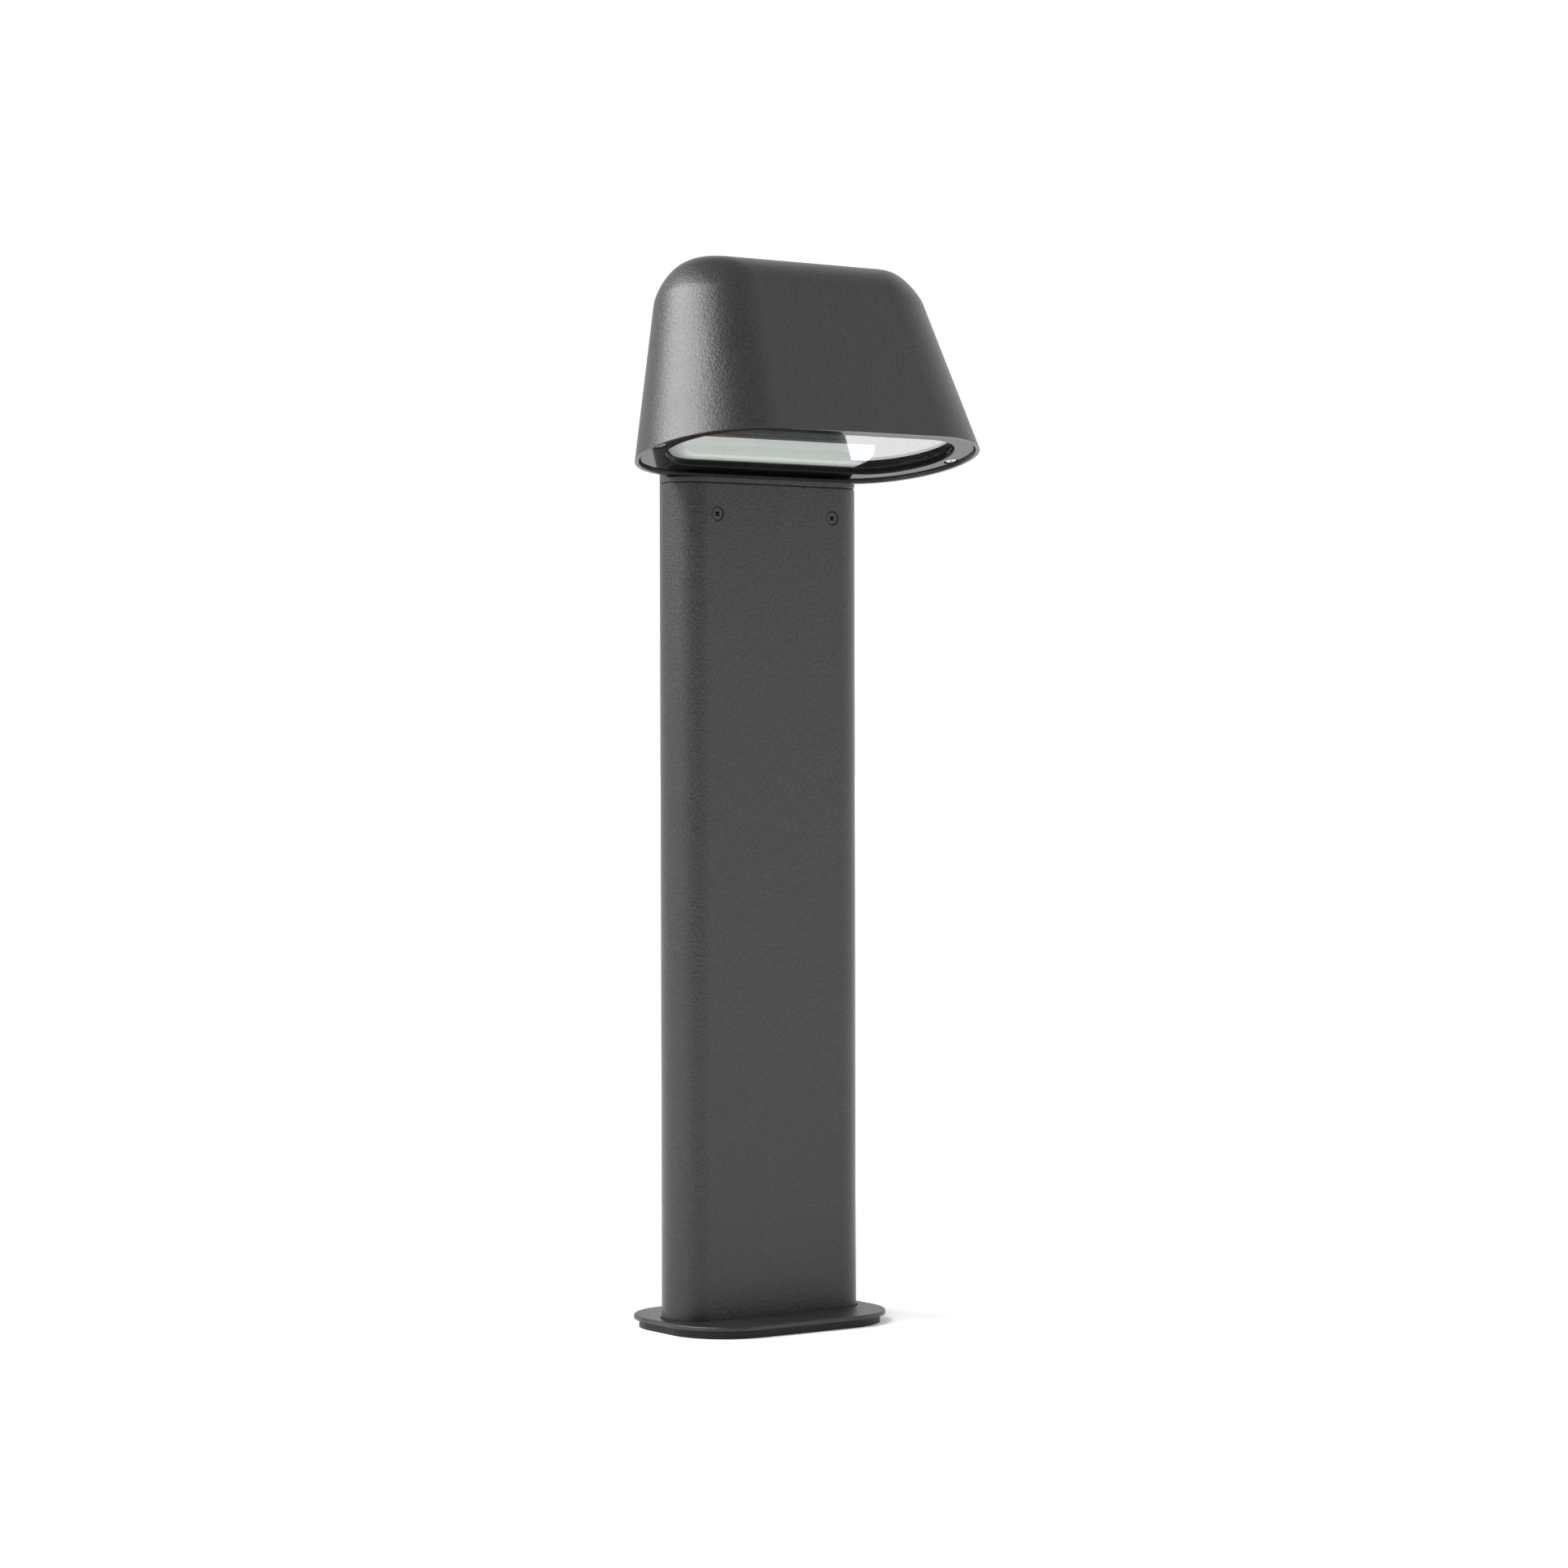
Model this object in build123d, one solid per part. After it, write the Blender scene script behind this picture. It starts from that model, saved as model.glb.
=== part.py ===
from build123d import *
import os
from math import cos, pi, radians, sin, tan

# A bollard light: a flat-sided post on a foot, with a hooded head that hangs out in front of it.
# Millimetres. X is the width, -Y the front that the light falls on, +Z up. The origin is on the
# ground under the centre of the post.

# Post: an extrusion with round ends and four screw ports
post_width = 137.4
post_depth = 37.4
post_wall = 2.5
post_length = 508.5
port_radius = 4.2
port_hole_radius = 2.35
port_angle = 45.0

# Foot and its anchor holes
foot_thickness = 5.1
foot_inset = 3.3
foot_chamfer = 0.6
foot_screw_length = 24.0
anchor_spacing_x = 92.0
anchor_spacing_y = 68.0
anchor_hole_radius = 3.25
anchor_head_radius = 6.3
boss_height = 9.0
boss_end_gap = 23.7
boss_corner = 4.0
cable_hole_radius = 9.0
cable_bore_radius = 4.0
grommet_lift = 0.4
grommet_flange = 3.0
grommet_flange_height = 2.0

# Loose cover plate on the foot
cover_end_margin = 7.3
cover_side_margin = 35.5
cover_corner_radius = 40.7
cover_thickness = 2.56
cover_edge_round = 1.1
cover_clearance = 0.8

# Collar on the post and the two lugs that hang from it into the post
seal_thickness = 0.6
seal_inset = 0.9
collar_thickness = 3.2
collar_bevel = 0.7
lug_width = 19.0
lug_height = 36.0
lug_clearance = 0.35
lug_corner = 3.0
collar_screw_inset = 7.4
collar_screw_drop = 18.3
collar_screw_head_radius = 3.8
collar_screw_length = 14.0
collar_screw_sink = 0.35
collar_seat_depth = 0.55
collar_seat_gap = 0.35

# Hood: round-ended sections that shrink and shift back as they rise
hood_rise = 12.5
hood_width = 231.6
hood_depth = 111.9
hood_back_y = -1.6
hood_end_draft = 14.6
hood_front_draft = 22.1
hood_back_lean = 3.3
hood_wall = 3.0
crown_rise = 116.4
crown_slope = 4.2
crown_radius = 34.0
crown_share = 0.95
taper_below = 30.0
taper_above = 16.0

# Neck behind the hood
neck_front_y = -0.5
neck_height = 94.0
neck_round = 15.0
neck_wall = 3.0
neck_cavity_front_y = 4.5
neck_lap = 2.0
passage_end_gap = 5.1

# Tilted opening of the hood and what closes it; depths are measured up from the rim
rim_tilt = 11.75
rim_drop = 0.3
rim_wall = 2.4
ring_gap = 0.9
ring_recess = 1.6
ring_thickness = 3.5
seal_depth = 1.2
seal_land = 3.6
seal_gap = 0.3
ledge_thickness = 4.0
ledge_width = 4.8
window_end_margin = 17.6
window_side_margin = 17.35
window_edge_round = 1.2
glass_seal = 1.0
glass_thickness = 4.0
glass_end_overlap = 3.2
glass_side_overlap = 5.4
glass_chamfer = 0.4
frame_screw_inset = 8.3
frame_screw_y = 2.5
frame_screw_length = 14.0
frame_screw_head_radius = 3.65
frame_boss_radius = 5.2
frame_boss_height = 26.0
frame_screw_hole = 18.0
counterbore_radius = 4.7
counterbore_depth = 2.2

# Light source at the back of the hood
strip_back_margin = 15.95
strip_depth = 15.0
strip_half_width = 73.4
strip_height = 14.4
strip_corner = 12.0
strip_side_draft = 9.0
strip_wall = 1.3
strip_air = 0.5
board_thickness = 1.6
board_half_width = 69.0
chip_count = 12
chip_pitch = 10.5
chip_size = 3.0
chip_height = 0.7
chip_corner = 0.4
board_screw_inset = 4.0
board_screw_length = 3.4
shelf_thickness = 2.0
shelf_half_width = 80.0
bracket_thickness = 2.0
bracket_stand_off = 4.4
bracket_height = 38.0
bracket_screw_x = 50.0
bracket_screw_rise = 27.0
bracket_boss_radius = 4.5
bracket_screw_length = 8.0
bracket_screw_hole = 7.0
lead_rise = 20.0
lead_port_radius = 4.0
lead_drop_front = 3.0
head_grommet_flange = 6.0
head_grommet_lip = 1.2

# Tray, driver and terminal block in the post; heights are below the lugs' lower faces
tray_end_gap = 18.7
tray_length = 186.0
tray_thickness = 1.5
tray_corner = 6.0
tray_back_gap = 8.2
tray_flange = 16.0
tray_notch_half_width = 20.0
tray_notch_depth = 15.0
tray_screw_length = 10.0
tray_screw_hole = 12.0
driver_half_width = 23.0
driver_drop = 23.0
driver_length = 100.0
driver_front_gap = 1.2
driver_wall = 1.5
driver_corner = 2.0
pillar_height = 3.0
pillar_radius = 2.0
pillar_inset = 5.0
mains_half_spacing = 5.0
circuit_thickness = 1.6
circuit_edge_gap = 0.5
transformer_air = 4.4
coil_air = 7.4
driver_ear = 7.0
driver_ear_thickness = 2.5
driver_ear_screw_x = 15.0
driver_screw_length = 6.0
block_drop = 156.0
block_height = 22.0
block_half_width = 17.0
block_front_gap = 7.2
pole_pitch = 10.0
sleeve_size = 5.6
sleeve_length = 18.0
sleeve_bore = 1.8
clamp_screw_radius = 1.25
clamp_screw_length = 3.0
clamp_screw_stand = 1.6
clamp_head_radius = 1.75
clamp_head_height = 1.4
clamp_spacing = 10.8
block_corner = 1.0
earth_edge_gap = 8.0
earth_drop = 136.0
earth_screw_length = 7.0
lug_sheet = 0.8
lug_ring_radius = 4.4
lug_reach = 8.0
barrel_radius = 2.0
barrel_length = 6.0
washer_radius = 3.9
washer_teeth = 8

# Leads
core_diameter = 2.6
lead_in_block = 6.0
lead_in_driver = 3.0
led_lead_diameter = 3.0
led_lead_clearance = 0.7
lead_hole_gap = 0.7

# Fasteners: thread radius, with the clearance that a hole leaves round it
m3 = 1.5
m3_head_radius = 2.75
m3_head_height = 1.9
m4 = 2.0
m4_head_radius = 3.8
m4_head_height = 2.4
thread_gap = 0.05
hole_gap = 0.2

# How far a cut runs past what it cuts, and the size of a cut that takes away everything on one side
over = 1.0
big = 400.0

post_base = foot_thickness
post_top = post_base + post_length
collar_base = post_top + seal_thickness
collar_top = collar_base + collar_thickness
hood_datum = collar_top + hood_rise
lug_base = collar_base - lug_height
inner_half_depth = post_depth / 2 - post_wall
end_centre_x = (post_width - post_depth) / 2
collar_screw_x = end_centre_x - collar_screw_inset
passage_width = 2 * (collar_screw_x - lug_width / 2 - passage_end_gap)
cover_width = post_width + 2 * cover_end_margin
cover_depth = post_depth + 2 * cover_side_margin
hood_front_y = hood_back_y - hood_depth
hood_middle_y = hood_back_y - hood_depth / 2
rim = Plane(
    origin=(0, hood_middle_y, hood_datum - rim_drop),
    x_dir=(1, 0, 0),
    z_dir=(0, sin(radians(rim_tilt)), cos(radians(rim_tilt))),
)
window_half_width = hood_width / 2 - window_end_margin
window_half_depth = hood_depth / 2 - window_side_margin
frame_screw_x = hood_width / 2 - frame_screw_inset
ring_inset = rim_wall + ring_gap
ring_top = ring_recess + ring_thickness
ledge_base = ring_top + seal_depth
ledge_top = ledge_base + ledge_thickness
ledge_inset = rim_wall + ledge_width
glass_base = ring_top + glass_seal
glass_top = glass_base + glass_thickness
strip_base = glass_top + strip_air
strip_y = hood_depth / 2 - strip_back_margin
shelf_base = strip_base + strip_height
bracket_y = hood_back_y - hood_wall - bracket_stand_off
tray_half_width = post_width / 2 - tray_end_gap
tray_y = inner_half_depth - tray_back_gap
driver_depth = tray_y + inner_half_depth - driver_wall - driver_front_gap
block_depth = tray_y + inner_half_depth - block_front_gap
sleeve_y = tray_y - block_depth / 2
earth_x = tray_half_width - earth_edge_gap
led_lead_y = post_depth / 2 - neck_wall - led_lead_diameter / 2 - led_lead_clearance


def prism(face, low, high):
    """A flat face drawn at the origin, made into a body from one height to another."""
    return extrude(Pos(0, 0, low) * face, high - low)


def between(low_corner, high_corner):
    """A box from its two corners."""
    size = [h - l for l, h in zip(low_corner, high_corner)]
    middle = [(h + l) / 2 for l, h in zip(low_corner, high_corner)]
    return Pos(*middle) * Box(*size)


def rod(start, direction, radius, length):
    """A cylinder that starts at a point and runs along a direction."""
    frame = Plane(origin=start, z_dir=direction)
    return frame * Pos(0, 0, length / 2) * Cylinder(radius, length)


def cross_recess(size, depth):
    """The cross cut of a screw, at the origin and going down."""
    bar = Box(size, size / 4, depth) + Box(size / 4, size, depth)
    return Pos(0, 0, -depth / 2) * Rot(0, 0, 45) * bar


def flat_screw(place, radius, head_radius, length):
    """A countersunk screw; its flat head faces up the place's Z, and its tip is the length below."""
    cone_height = head_radius - radius
    head = Pos(0, 0, -cone_height / 2) * Cone(radius, head_radius, cone_height)
    shank = Pos(0, 0, -length / 2) * Cylinder(radius, length)
    return place * (head + shank - cross_recess(head_radius * 1.05, cone_height * 0.7))


def pan_screw(place, radius, head_radius, head_height, length):
    """A round-headed screw; the head stands on the place and the shank goes down from it."""
    head = Pos(0, 0, head_height / 2) * Cylinder(head_radius, head_height)
    head = fillet(head.edges().sort_by(Axis.Z)[-1], head_height * 0.6)
    shank = Pos(0, 0, -length / 2) * Cylinder(radius, length)
    recess = Pos(0, 0, head_height) * cross_recess(head_radius * 1.1, head_height * 0.6)
    return place * (head + shank - recess)


def facing(origin, direction):
    """A place whose Z runs along the direction."""
    return Plane(origin=origin, z_dir=direction)


def lead(name, points, radii, diameter):
    """An insulated lead along straight runs joined by tangent arcs."""
    path = FilletPolyline(*points, radius=radii)
    start = Plane(origin=path @ 0, z_dir=path % 0)
    body = sweep(start * Circle(diameter / 2), path=path)
    expected = pi * diameter ** 2 / 4 * path.length
    print(f"{name}: radii {[round(r, 1) for r in radii]}, volume / section x length "
          f"{body.volume / expected:.4f}")
    return body


def open_radii(points):
    """For each corner of a route, the largest arc that its two runs leave room for."""
    corners = [Vector(*p) for p in points]
    radii = []
    for a, b, c in zip(corners, corners[1:], corners[2:]):
        turn = radians((b - a).get_angle(c - b))
        radii.append(0.45 * min((b - a).length, (c - b).length) / tan(turn / 2))
    return radii


# ---- foot, cover and post ----

def port_places():
    """Centres of the four screw ports, where they meet the post's round ends."""
    reach = inner_half_depth - port_radius + 0.2
    dx = reach * cos(radians(port_angle))
    dy = reach * sin(radians(port_angle))
    return [(sx * (end_centre_x + dx), sy * dy) for sx in (-1, 1) for sy in (-1, 1)]


def anchor_places():
    return [(sx * anchor_spacing_x / 2, sy * anchor_spacing_y / 2) for sx in (-1, 1) for sy in (-1, 1)]


def make_foot():
    width = cover_width - 2 * foot_inset
    depth = cover_depth - 2 * foot_inset
    plate = prism(RectangleRounded(width, depth, cover_corner_radius - foot_inset), 0, foot_thickness)
    plate = chamfer(plate.edges().group_by(Axis.Z)[-1], foot_chamfer)
    boss_width = post_width - 2 * boss_end_gap
    boss_depth = 2 * (inner_half_depth - lug_clearance)
    boss_top = foot_thickness + boss_height
    boss = prism(RectangleRounded(boss_width, boss_depth, boss_corner), foot_thickness - over, boss_top)
    foot = plate + boss
    foot -= prism(Circle(cable_hole_radius), -over, boss_top + over)
    sink = anchor_head_radius - anchor_hole_radius
    for x, y in anchor_places():
        foot -= Pos(x, y, foot_thickness / 2) * Cylinder(anchor_hole_radius, 3 * foot_thickness)
        foot -= Pos(x, y, foot_thickness - sink / 2) * Cone(anchor_hole_radius, anchor_head_radius, sink)
    radius = port_hole_radius - thread_gap
    head_radius = 2 * radius
    for x, y in port_places():
        foot -= Pos(x, y, 0) * Cylinder(radius + hole_gap, 3 * foot_thickness)
        foot -= Pos(x, y, head_radius / 2) * Cone(head_radius + 2 * hole_gap, 2 * hole_gap, head_radius)
    return foot


def make_foot_screws():
    radius = port_hole_radius - thread_gap
    return [flat_screw(facing((x, y, hole_gap), (0, 0, -1)), radius, 2 * radius, foot_screw_length)
            for x, y in port_places()]


def make_cable_grommet():
    seat = foot_thickness + boss_height
    top = seat + grommet_flange_height
    body = prism(Circle(cable_hole_radius - hole_gap / 2), grommet_lift, top)
    body += prism(Circle(cable_hole_radius + grommet_flange), seat, top)
    return body - prism(Circle(cable_bore_radius), -over, top + over)


def make_cover():
    plate = prism(RectangleRounded(cover_width, cover_depth, cover_corner_radius),
                  foot_thickness, foot_thickness + cover_thickness)
    plate = fillet(plate.edges().group_by(Axis.Z)[-1], cover_edge_round)
    opening = SlotOverall(post_width + 2 * cover_clearance, post_depth + 2 * cover_clearance)
    return plate - prism(opening, 0, 3 * foot_thickness)


def make_post():
    section = SlotOverall(post_width, post_depth)
    section -= SlotOverall(post_width - 2 * post_wall, post_depth - 2 * post_wall)
    for x, y in port_places():
        section += Pos(x, y) * Circle(port_radius)
    for x, y in port_places():
        section -= Pos(x, y) * Circle(port_hole_radius)
    post = prism(section, post_base, post_top)
    seat_radius = collar_screw_head_radius + collar_seat_gap
    for place in collar_screw_places():
        post -= place * Cylinder(m4 + hole_gap, 4 * post_wall)
        post -= place * Cylinder(seat_radius, 2 * collar_seat_depth)
        cone_depth = collar_screw_sink + collar_screw_head_radius - m4
        post -= place * Pos(0, 0, -cone_depth / 2) * Cone(m4 + hole_gap, seat_radius, cone_depth)
    return post


def collar_screw_places():
    height = post_top - collar_screw_drop
    return [facing((x, -post_depth / 2, height), (0, -1, 0)) for x in (-collar_screw_x, collar_screw_x)]


def make_collar_screws():
    return [flat_screw(place * Pos(0, 0, -collar_screw_sink), m4, collar_screw_head_radius,
                       collar_screw_length)
            for place in collar_screw_places()]


def make_collar_gasket():
    outline = SlotOverall(post_width - 2 * seal_inset, post_depth - 2 * seal_inset)
    opening = SlotOverall(post_width - 2 * post_wall + hole_gap, post_depth - 2 * post_wall + hole_gap)
    return prism(outline - opening, post_top, collar_base)


# ---- head ----

def hood_section(rise, inset):
    """The hood's level outline at a rise above its datum height, pulled in by an inset."""
    width = hood_width - 2 * rise * tan(radians(hood_end_draft)) - 2 * inset
    front = hood_front_y + rise * tan(radians(hood_front_draft)) + inset
    back = hood_back_y + rise * tan(radians(hood_back_lean)) - inset
    return Pos(0, (front + back) / 2, rise) * SlotOverall(width, back - front)


def low_taper(inset):
    """The tapering walls before they are lifted to the hood's height."""
    low = hood_section(-taper_below, inset)
    high = hood_section(crown_rise + taper_above, inset)
    return loft([low, high], ruled=True)


def hood_taper(inset):
    """The hood's tapering walls, pulled in by an inset, running on below the rim and past the crown."""
    return Pos(0, 0, hood_datum) * low_taper(inset)


def hood_blank(inset):
    """The tapering walls closed by the sloping crown and its large round."""
    slope = radians(crown_slope)
    crown = Plane(
        origin=(0, hood_middle_y, crown_rise - inset),
        x_dir=(1, 0, 0),
        z_dir=(0, -sin(slope), cos(slope)),
    )
    body = low_taper(inset) - crown * Pos(0, 0, big / 2) * Box(big, big, big)
    top = body.faces().sort_by(Axis.Z)[-1]
    reach = tan(radians(45 - hood_front_draft / 2)) + tan(radians(45 + hood_back_lean / 2))
    radius = min(crown_radius - inset, crown_share * top.bounding_box().size.Y / reach)
    return Pos(0, 0, hood_datum) * fillet(top.edges(), radius)


def layer(low, high):
    """The space between two depths above the hood's tilted rim."""
    return rim * Pos(0, 0, (low + high) / 2) * Box(big, big, high - low)


def neck_blank(inset, low, high):
    outline = SlotOverall(post_width - 2 * inset, post_depth - 2 * inset)
    body = prism(outline, low, high)
    return fillet(body.edges().group_by(Axis.Z)[-1], neck_round - inset)


def frame_boss_places():
    return [rim * Pos(x, frame_screw_y, 0) for x in (-frame_screw_x, frame_screw_x)]


def shelf_height():
    """The height of the light source's shelf where the bracket's upright plate meets it."""
    return rim.from_local_coords((0, strip_y + strip_depth / 4, shelf_base)).Z


def lead_height():
    """The height at which the light source's lead passes through the hood's back wall."""
    return shelf_height() + lead_rise


def bracket_boss_places():
    height = shelf_height() + bracket_screw_rise
    return [facing((x, bracket_y, height), (0, -1, 0)) for x in (-bracket_screw_x, bracket_screw_x)]


def make_head():
    """Hood, neck, collar flange and the two lugs, as one casting."""
    neck_top = collar_base + neck_height
    hood = hood_blank(0) & layer(0, big)
    neck = neck_blank(0, collar_base, neck_top)
    back = neck & between((-big, neck_front_y, 0), (big, big, 2 * big))
    joined = neck & between((-big, hood_back_y - neck_lap, 0), (big, big, 2 * big)) & layer(0, big)
    collar = prism(SlotOverall(post_width, post_depth), collar_base, collar_top)
    collar = chamfer(collar.edges().group_by(Axis.Z)[0], collar_bevel)
    head = hood + joined + back + collar
    head -= hood_taper(rim_wall) & layer(-over, ledge_base)
    head -= hood_taper(ledge_inset) & layer(ledge_base - over, ledge_top + over)
    head -= hood_blank(hood_wall) & layer(ledge_top, big)
    cavity = neck_blank(neck_wall, collar_top + neck_wall, neck_top - neck_wall)
    front = neck_cavity_front_y
    head -= cavity & between((-big, front, 0), (big, big, 2 * big))
    half_slot = passage_width / 2
    head -= between((-half_slot, front, collar_base - over),
                    (half_slot, post_depth / 2 - neck_wall, collar_top + neck_wall + over))
    head += make_bosses()
    for place in frame_boss_places():
        head -= place * Pos(0, 0, ledge_base) * Cylinder(m4 + thread_gap, 2 * frame_screw_hole)
    for place in bracket_boss_places():
        head -= place * Cylinder(m3 + thread_gap, 2 * bracket_screw_hole)
    head -= rod((0, bracket_y, lead_height()), (0, 1, 0), lead_port_radius, front + over - bracket_y)
    return head + make_lugs()


def make_bosses():
    """Bosses for the ring plate's screws and for the bracket's screws, kept within the hood."""
    bosses = []
    for place in frame_boss_places():
        low = ledge_base
        height = frame_boss_height
        bosses.append(place * Pos(0, 0, low + height / 2) * Cylinder(frame_boss_radius, height))
    for place in bracket_boss_places():
        reach = hood_back_y - bracket_y + neck_lap
        bosses.append(place * Pos(0, 0, -reach / 2) * Cylinder(bracket_boss_radius, reach))
    within = hood_taper(hood_wall / 3)
    return [boss & within for boss in bosses]


def make_lugs():
    depth = 2 * (inner_half_depth - lug_clearance)
    lugs = []
    for place in collar_screw_places():
        x = place.origin.X
        outline = RectangleRounded(lug_width, depth, lug_corner)
        lug = Pos(x, 0, 0) * prism(outline, lug_base, collar_base + over)
        lug -= place * Cylinder(m4 + thread_gap, 2 * (collar_screw_length + post_wall))
        lug -= Pos(x, 0, lug_base) * Cylinder(m4 + thread_gap, 2 * tray_screw_hole)
        lugs.append(lug)
    return lugs


def window_outline(widening=0.0):
    return SlotOverall(2 * (window_half_width + widening), 2 * (window_half_depth + widening))


def make_glass_frame():
    """The ring plate that closes the hood, with a rounded edge to its window opening."""
    plate = prism(Rectangle(big, big) - window_outline(), ring_recess, ring_top)
    opening = [edge for edge in plate.edges().group_by(Axis.Z)[0] if edge.length < big]
    ring = hood_taper(ring_inset) & rim * fillet(opening, window_edge_round)
    for place in frame_boss_places():
        ring -= place * Cylinder(m4 + hole_gap, 4 * ring_top)
        ring -= place * Pos(0, 0, ring_recess) * Cylinder(counterbore_radius, 2 * counterbore_depth)
    return ring


def make_frame_gasket():
    outer = hood_taper(ring_inset + seal_gap) & layer(ring_top, ledge_base)
    seal = outer - hood_taper(ring_inset + seal_land)
    for place in frame_boss_places():
        middle = place * Pos(0, 0, (ring_top + ledge_base) / 2)
        seal += middle * Cylinder(frame_boss_radius - seal_gap, seal_depth) & outer
    for place in frame_boss_places():
        seal -= place * Cylinder(m4 + hole_gap, 4 * ledge_base)
    return seal


def glass_outline(inset):
    half_width = window_half_width + glass_end_overlap - inset
    half_depth = window_half_depth + glass_side_overlap - inset
    return SlotOverall(2 * half_width, 2 * half_depth)


def make_glass_gasket():
    return rim * prism(glass_outline(glass_chamfer) - window_outline(glass_chamfer), ring_top, glass_base)


def make_glass():
    pane = prism(glass_outline(0), glass_base, glass_top)
    return rim * chamfer(pane.edges(), glass_chamfer)


def make_frame_screws():
    seat = ring_recess + counterbore_depth
    places = [rim * Pos(x, frame_screw_y, seat) * Rot(180, 0, 0) for x in (-frame_screw_x, frame_screw_x)]
    head_height = counterbore_depth - hole_gap
    return [pan_screw(place, m4, frame_screw_head_radius, head_height, frame_screw_length)
            for place in places]


def strip_shell(inset, low, high):
    """The opal cover's solid shape: drafted ends, rounded lower corners, pulled in by an inset."""
    slant = tan(radians(strip_side_draft)) * (high - low)
    top = strip_half_width - inset
    low_half = top - slant
    outline = Polyline((-top, high), (-low_half, low), (low_half, low), (top, high), close=True)
    face = make_face(outline)
    face = fillet(face.vertices().group_by(Axis.Y)[0], strip_corner - inset)
    depth = strip_depth - 2 * inset
    body = extrude(Plane.XZ * face, depth / 2, both=True)
    return rim * Pos(0, strip_y, 0) * body


def make_diffuser():
    cover = strip_shell(0, strip_base, shelf_base)
    return cover - strip_shell(strip_wall, strip_base + strip_wall, shelf_base + over)


def on_shelf(x, y=0.0):
    """A place under the shelf, facing down; its y runs to the front from the light strip's middle."""
    return rim * Pos(x, strip_y - y, shelf_base) * Rot(180, 0, 0)


def make_board():
    depth = strip_depth - 2 * strip_wall - 2 * hole_gap
    board = Pos(0, 0, board_thickness / 2) * Box(2 * board_half_width, depth, board_thickness)
    for x in board_screw_x():
        board -= Pos(x, 0, 0) * Cylinder(m3 + hole_gap, 3 * board_thickness)
    return on_shelf(0) * board


def board_screw_x():
    reach = board_half_width - board_screw_inset
    return (-reach, reach)


def make_chips():
    chips = []
    for i in range(chip_count):
        x = (i - (chip_count - 1) / 2) * chip_pitch
        chip = Box(chip_size, chip_size, chip_height)
        chip = fillet(chip.edges().filter_by(Axis.Z), chip_corner)
        chips.append(on_shelf(x) * Pos(0, 0, board_thickness + chip_height / 2) * chip)
    return chips


def make_board_screws():
    return [pan_screw(on_shelf(x) * Pos(0, 0, board_thickness), m3, m3_head_radius, m3_head_height,
                      board_screw_length)
            for x in board_screw_x()]


def make_bracket():
    """A shelf parallel to the rim, and an upright plate that bolts to the hood's back wall."""
    shelf = Pos(0, strip_y, shelf_base + shelf_thickness / 2)
    shelf = rim * shelf * Box(2 * shelf_half_width, strip_depth, shelf_thickness)
    low = shelf_height() + shelf_thickness / 2
    plate = between((-shelf_half_width, bracket_y - bracket_thickness, low),
                    (shelf_half_width, bracket_y, low + bracket_height))
    bracket = shelf + plate
    for place in bracket_boss_places():
        bracket -= place * Cylinder(m3 + hole_gap, 4 * bracket_thickness)
    bracket -= rod((0, bracket_y - 2 * bracket_thickness, lead_height()), (0, 1, 0), lead_port_radius,
                   3 * bracket_thickness)
    for x in board_screw_x():
        bracket -= on_shelf(x) * Cylinder(m3 + thread_gap, 3 * shelf_thickness)
    hole_radius = led_lead_diameter / 2 + lead_hole_gap
    bracket -= on_shelf(0, lead_drop_front) * Cylinder(hole_radius, 3 * shelf_thickness)
    return bracket & hood_taper(hood_wall + hole_gap)


def make_bracket_screws():
    return [pan_screw(place * Pos(0, 0, bracket_thickness), m3, m3_head_radius, m3_head_height,
                      bracket_screw_length)
            for place in bracket_boss_places()]


def make_head_grommet():
    """A rubber bush in the hood's back wall, with a lip on each side of it."""
    height = lead_height()
    wall_front = hood_back_y - hood_wall + (height - hood_datum) * tan(radians(hood_back_lean))
    wall_back = neck_cavity_front_y
    front = wall_front - head_grommet_lip - 2 * hole_gap
    back = wall_back + head_grommet_lip
    body = rod((0, front, height), (0, 1, 0), lead_port_radius - hole_gap / 2, back - front)
    for y in (front, wall_back):
        body += rod((0, y, height), (0, 1, 0), head_grommet_flange, head_grommet_lip)
    return body - rod((0, front - over, height), (0, 1, 0), led_lead_diameter / 2 + seal_gap,
                      back - front + 2 * over)


# ---- tray, driver and terminal block ----

def make_tray():
    bottom = lug_base - tray_length
    plate = between((-tray_half_width, tray_y, bottom), (tray_half_width, tray_y + tray_thickness, lug_base))
    plate = fillet(plate.edges().filter_by(Axis.Y).group_by(Axis.Z)[0], tray_corner)
    flange = between((-tray_half_width, tray_y - tray_flange, lug_base - tray_thickness),
                     (tray_half_width, tray_y + tray_thickness, lug_base))
    tray = plate + flange
    tray -= between((-tray_notch_half_width, tray_y - tray_flange - over, lug_base - tray_notch_depth),
                    (tray_notch_half_width, tray_y + tray_thickness + over, lug_base + over))
    for x in (-collar_screw_x, collar_screw_x):
        tray -= Pos(x, 0, lug_base) * Cylinder(m4 + hole_gap, 4 * tray_thickness)
    for point in driver_screw_points() + block_screw_points():
        tray -= rod(point, (0, 1, 0), m3 + thread_gap, 2 * post_depth)
    return tray - rod(earth_point(), (0, 1, 0), m4 + thread_gap, 2 * post_depth)


def make_tray_screws():
    return [pan_screw(facing((x, 0, lug_base - tray_thickness), (0, 0, -1)), m4, m4_head_radius,
                      m4_head_height, tray_screw_length)
            for x in (-collar_screw_x, collar_screw_x)]


def driver_top():
    return lug_base - driver_drop


def driver_bottom():
    return driver_top() - driver_length


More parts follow.
